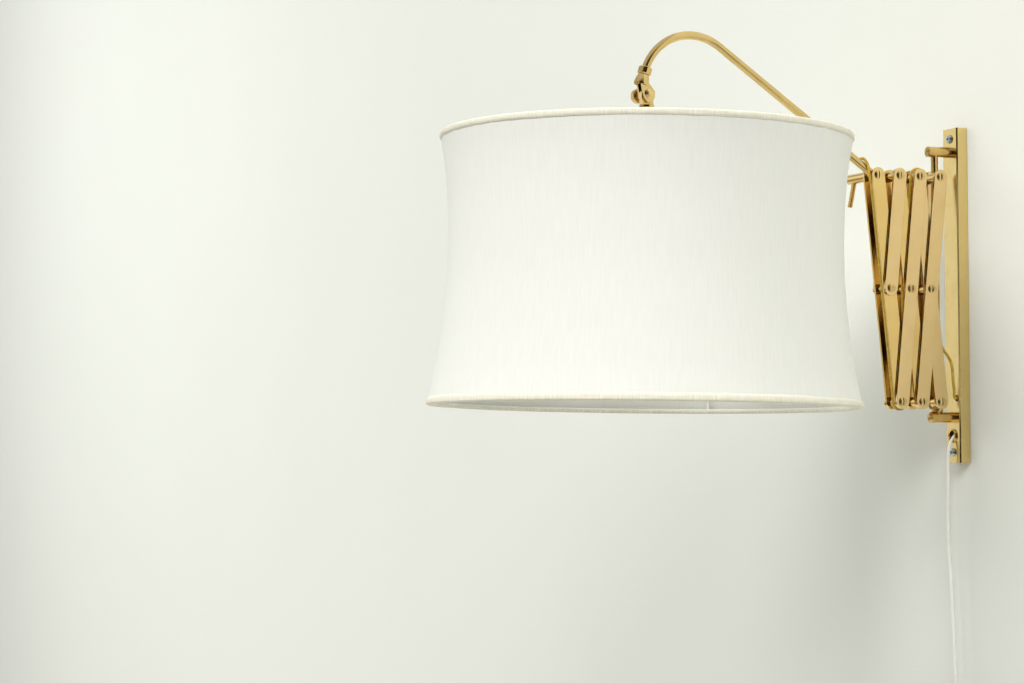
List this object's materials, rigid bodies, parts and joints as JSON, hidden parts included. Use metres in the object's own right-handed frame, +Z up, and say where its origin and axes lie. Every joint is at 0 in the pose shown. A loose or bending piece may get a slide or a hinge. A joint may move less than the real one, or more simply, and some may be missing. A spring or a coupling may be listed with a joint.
{
  "type": "swing_arm_wall_sconce",
  "caption": "Polished brass scissor-arm wall sconce with an off-white drum shade on a bent arm, a gold cable along the scissors and a white mains cord.",
  "frame": {"origin": "on the wall plane, at the middle of the wall plate's back", "axes": "+Z up, +Y into the wall, so the room is on the -Y side, +X to the right of someone who faces the wall"},
  "size_m": [0.3963, 0.5376, 0.755],
  "materials": {
    "brass": "polished, lightly aged",
    "brass_screw": "turned, polished",
    "steel_zinc": "zinc plated",
    "cloth": "off-white slub weave",
    "trim": "cream bias tape",
    "wire": "white coated wire",
    "cable": "translucent gold PVC",
    "cord": "white PVC",
    "plastic": "moulded, off-white",
    "glass": "frosted"
  },
  "bodies": {
    "wall": {"wall_plate": "brass", "rod_studs": "brass", "stud_nuts": "steel_zinc", "swing_rod": "brass", "stop_collar": "brass_screw", "cord_ferrule": "brass_screw", "connector": "plastic", "cable_wall_loop": "cable", "mains_lead": "cord", "mains_cord": "cord", "cord_coil": "cord", "cord_tail": "cord", "plug_body": "plastic", "plug_pins": "steel_zinc"},
    "swing": {"swing_block": "brass", "swing_block_screws": "brass_screw", "cable_swing_loop": "cable"},
    "rear_in": {"rear_inner_bars": "brass", "rear_cross_rods": "brass", "rear_pivot_screws": "brass_screw", "cable_rear_run": "cable", "cable_top_turn": "cable"},
    "rear_out": {"rear_outer_bars": "brass"},
    "slider": {"slide_block": "brass", "slide_block_screws": "brass_screw"},
    "mid_out": {"middle_outer_bars": "brass", "cable_middle_run": "cable", "cable_low_turn": "cable"},
    "mid_in": {"middle_inner_bars": "brass", "middle_cross_rods": "brass", "middle_pivot_screws": "brass_screw"},
    "front_in": {"front_inner_bars": "brass", "front_cross_rods": "brass", "front_pivot_screws": "brass_screw", "cable_front_run": "cable"},
    "front_out": {"front_outer_bars": "brass"},
    "arm": {"arm_cross_rod": "brass", "arm_rod_screw": "brass_screw", "arm_tube": "brass", "knuckle_sleeve": "brass", "knuckle_dome": "brass", "cable_arm_loop": "cable"},
    "clamp": {"clamp_handle": "brass", "clamp_pin": "brass"},
    "head": {"knuckle_foot": "brass", "knuckle_bolt": "brass_screw", "shade_cover": "cloth", "top_trim": "trim", "bottom_trim": "trim", "top_frame": "wire", "bottom_frame": "wire", "stem": "brass", "holder_cap": "brass", "holder_body": "plastic", "bulb_glass": "glass", "bulb_base": "brass_screw"},
    "nut": {"knuckle_nut": "brass_screw"},
    "key": {"switch_key": "plastic"}
  },
  "joints": [
    {"name": "swing_turn", "type": "hinge", "parent": "wall", "child": "swing", "pos_m": [0, -0.0287, -0.1022], "axis": [0, 0, 1], "range_deg": [-50, 50], "deforming": ["cable_wall_loop"]},
    {"name": "extend", "type": "hinge", "parent": "swing", "child": "rear_in", "pos_m": [0, -0.0287, -0.1022], "axis": [1, 0, 0], "range_deg": [-1.2, 46], "deforming": ["cable_swing_loop"]},
    {"name": "rear_cross", "type": "hinge", "parent": "rear_in", "child": "rear_out", "pos_m": [0, -0.03986, 0.00492], "axis": [1, 0, 0], "range_deg": [-92, 2.4]},
    {"name": "slider_turn", "type": "hinge", "parent": "rear_out", "child": "slider", "pos_m": [0, -0.0287, 0.11204], "axis": [1, 0, 0], "range_deg": [-1.2, 46]},
    {"name": "rear_top_turn", "type": "hinge", "parent": "rear_in", "child": "mid_out", "pos_m": [0, -0.05103, 0.11204], "axis": [1, 0, 0], "range_deg": [-92, 2.4], "deforming": ["cable_top_turn"]},
    {"name": "middle_cross", "type": "hinge", "parent": "mid_out", "child": "mid_in", "pos_m": [0, -0.06219, 0.00492], "axis": [1, 0, 0], "range_deg": [-2.4, 92]},
    {"name": "front_low_turn", "type": "hinge", "parent": "mid_out", "child": "front_in", "pos_m": [0, -0.07336, -0.1022], "axis": [1, 0, 0], "range_deg": [-2.4, 92], "deforming": ["cable_low_turn"]},
    {"name": "front_cross", "type": "hinge", "parent": "front_in", "child": "front_out", "pos_m": [0, -0.08452, 0.00492], "axis": [1, 0, 0], "range_deg": [-92, 2.4]},
    {"name": "arm_tilt", "type": "hinge", "parent": "front_in", "child": "arm", "pos_m": [0, -0.09569, 0.11204], "axis": [1, 0, 0], "range_deg": [-25, 10], "deforming": ["cable_arm_loop"]},
    {"name": "clamp_turn", "type": "hinge", "parent": "arm", "child": "clamp", "pos_m": [-0.02, -0.09569, 0.11204], "axis": [1, 0, 0], "range_deg": [-40, 40]},
    {"name": "shade_tilt", "type": "hinge", "parent": "arm", "child": "head", "pos_m": [0, -0.3352, 0.1775], "axis": [1, 0, 0], "range_deg": [-30, 0]},
    {"name": "nut_turn", "type": "hinge", "parent": "head", "child": "nut", "pos_m": [-0.012, -0.3352, 0.1775], "axis": [1, 0, 0], "range_deg": [-180, 180]},
    {"name": "key_turn", "type": "hinge", "parent": "head", "child": "key", "pos_m": [0.02, -0.33591, 0.1], "axis": [1, 0, 0], "range_deg": [-45, 45]}
  ],
  "couplings": [
    {"joint": "rear_cross", "follows": "extend", "ratio": -2},
    {"joint": "slider_turn", "follows": "extend", "ratio": 1},
    {"joint": "rear_top_turn", "follows": "extend", "ratio": -2},
    {"joint": "middle_cross", "follows": "extend", "ratio": 2},
    {"joint": "front_low_turn", "follows": "extend", "ratio": 2},
    {"joint": "front_cross", "follows": "extend", "ratio": -2}
  ]
}
